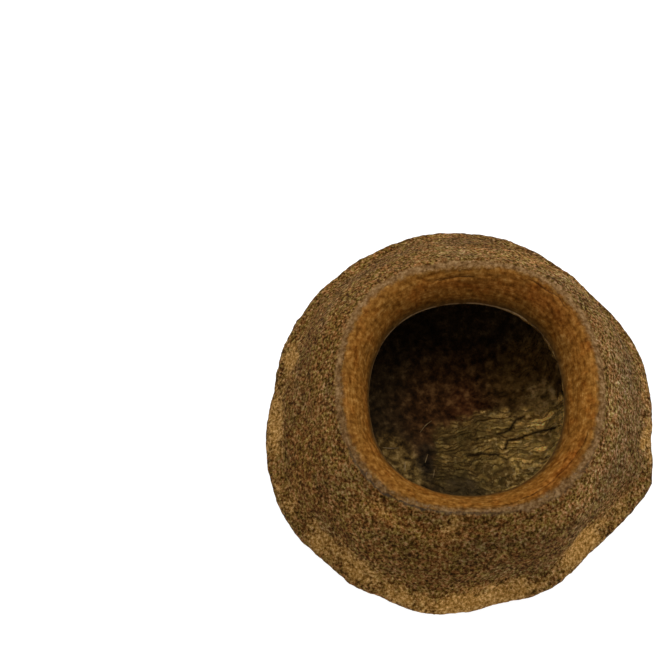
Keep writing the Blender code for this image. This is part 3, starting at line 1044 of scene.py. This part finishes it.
def zones(s):
    """The lip band's ragged edge in mm, and the shares of lip band, seat, hollow and crust."""
    ragged_lip = s.add(s.mark("lip"), s.times(s.add(s.noise(1.7 * MM, detail=3), -0.5), 2.6))
    on_lip = s.step(ragged_lip, -1.6, 1.0)
    on_seat = s.times(s.mark("seat"), s.math("SUBTRACT", 1.0, on_lip))
    in_hollow = s.mark("hollow")
    bare = s.math("SUBTRACT", 1.0, s.math("MAXIMUM", on_lip, on_seat))
    return ragged_lip, on_lip, on_seat, in_hollow, s.times(bare, s.math("SUBTRACT", 1.0, in_hollow))


def bark():
    """The pod's whole surface: crust, worn patches, lip band, seat and hollow."""
    s = Shading("bark")
    grain = s.noise(1.15 * MM, detail=4, roughness=0.7, place=s.grain_place)
    coarse = s.add(s.times(s.off_noise(4.5 * MM), 0.22), -0.025)
    speckle = s.add(s.add(s.times(grain, 0.92), s.times(s.cells(1.15 * MM), 0.14)), coarse)
    mottle = s.noise(1.8 * MM, detail=5, roughness=0.62, place=s.grain_place)
    rings = s.add(s.times(s.streaks(s.mark("along"), 1.1, 5 * MM), 0.35), s.times(mottle, 0.65))
    pulp = s.noise(3.2 * MM, detail=6, roughness=0.62)
    level = s.times(s.mark("layers"), LAYER_PITCH / MM)
    tone, gap = s.plates(level, 2.3, 10 * MM)
    streaky = s.times(s.streaks(level, 0.9, 5 * MM), 0.3)
    flakes = s.add(streaky, s.times(s.noise(1.3 * MM, detail=5, roughness=0.72), 0.7))

    ragged_lip, on_lip, on_seat, in_hollow, on_crust = zones(s)
    colour = s.mix(on_lip, crust_colour(s, speckle, grain), lip_colour(s, speckle))
    # Painted shade: a dark line along the lip band's outer edge, under the crust's edge.
    painted_shade_line = s.times(s.line(s.add(ragged_lip, 0.2), 0.9), s.step(s.mark("seat"), 0.5, 0.2))
    colour = s.mix(s.times(painted_shade_line, s.mark("groove_shade")), colour, LIP_SHADE_LINE)
    colour = s.mix(on_seat, colour, seat_colour(s, rings))
    colour = s.mix(in_hollow, colour, hollow_colour(s, tone, gap, flakes, pulp))
    # Paler and darker by the tone mark, which is partly painted light and shade.
    s.give(s.shader.inputs["Base Color"], s.brighter(colour, s.add(s.mark("tone"), 1.0)))
    s.give(s.shader.inputs["Roughness"], s.step(on_seat, 0.0, 1.0, 0.9, 0.65))
    s.shader.inputs["Specular IOR Level"].default_value = 0.03

    steps = s.add(s.add(s.times(tone, 0.6), s.times(gap, -0.5)), s.times(flakes, 0.5))
    surface_height(
        s,
        crust=s.times(speckle, s.times(on_crust, 1.1)),
        seat=s.times(rings, s.times(on_seat, 0.35)),
        hollow=s.times(s.add(s.times(steps, s.mark("torn")), pulp), in_hollow),
    )
    return s.material


def straw():
    """Pale, slightly shiny fibres."""
    s = Shading("straw")
    s.give(s.shader.inputs["Base Color"], s.ramp(s.noise(2 * MM), STRAW_SHADES))
    s.shader.inputs["Roughness"].default_value = 0.6
    s.shader.inputs["Specular IOR Level"].default_value = 0.3
    return s.material


def make_table():
    half = TABLE_HALF_WIDTH
    mesh = bpy.data.meshes.new("table")
    corners = [(-half, -half, 0), (half, -half, 0), (half, half, 0), (-half, half, 0)]
    mesh.from_pydata(corners, [], [(0, 1, 2, 3)])
    table = bpy.data.objects.new("table", mesh)
    bpy.context.scene.collection.objects.link(table)
    s = Shading("white_table")
    s.shader.inputs["Base Color"].default_value = (TABLE_GREY, TABLE_GREY, TABLE_GREY, 1)
    s.shader.inputs["Roughness"].default_value = 0.9
    s.shader.inputs["Emission Color"].default_value = (1, 1, 1, 1)
    s.shader.inputs["Emission Strength"].default_value = TABLE_GLOW
    table.data.materials.append(s.material)


def add_light(name, place, power):
    """A square soft light that faces the pod's middle."""
    light = bpy.data.lights.new(name, "AREA")
    light.shape = "SQUARE"
    light.size = LIGHT_WIDTH
    light.energy = power
    lamp = bpy.data.objects.new(name, light)
    lamp.location = place
    lamp.rotation_euler = (Vector((0, 0, RING_HEIGHT)) - lamp.location).to_track_quat("-Z", "Y").to_euler()
    bpy.context.scene.collection.objects.link(lamp)


def add_world():
    """Even dim light from all round, and a white background to look at."""
    world = bpy.data.worlds.new("studio")
    world.use_nodes = True
    tree = world.node_tree
    background = tree.nodes["Background"]
    background.inputs["Color"].default_value = (1, 1, 1, 1)
    seen = tree.nodes.new("ShaderNodeLightPath").outputs["Is Camera Ray"]
    strength = tree.nodes.new("ShaderNodeMapRange")
    strength.inputs["To Min"].default_value = SKY_STRENGTH
    strength.inputs["To Max"].default_value = 1
    tree.links.new(seen, strength.inputs["Value"])
    tree.links.new(strength.outputs["Result"], background.inputs["Strength"])
    bpy.context.scene.world = world


def add_camera():
    camera = bpy.data.cameras.new("camera")
    camera.lens = LENS
    camera.sensor_width = SENSOR
    camera.clip_start = CLIP_START
    holder = bpy.data.objects.new("camera", camera)
    holder.location = CAMERA_PLACE
    holder.rotation_euler = (math.pi / 2 - CAMERA_LIFT, 0, 0)
    bpy.context.scene.collection.objects.link(holder)
    bpy.context.scene.camera = holder


make_fibres(make_pod())
make_table()
add_light("key", KEY_PLACE, KEY_POWER)
add_light("fill", FILL_PLACE, FILL_POWER)
add_world()
add_camera()
bpy.context.scene.view_settings.view_transform = "Standard"
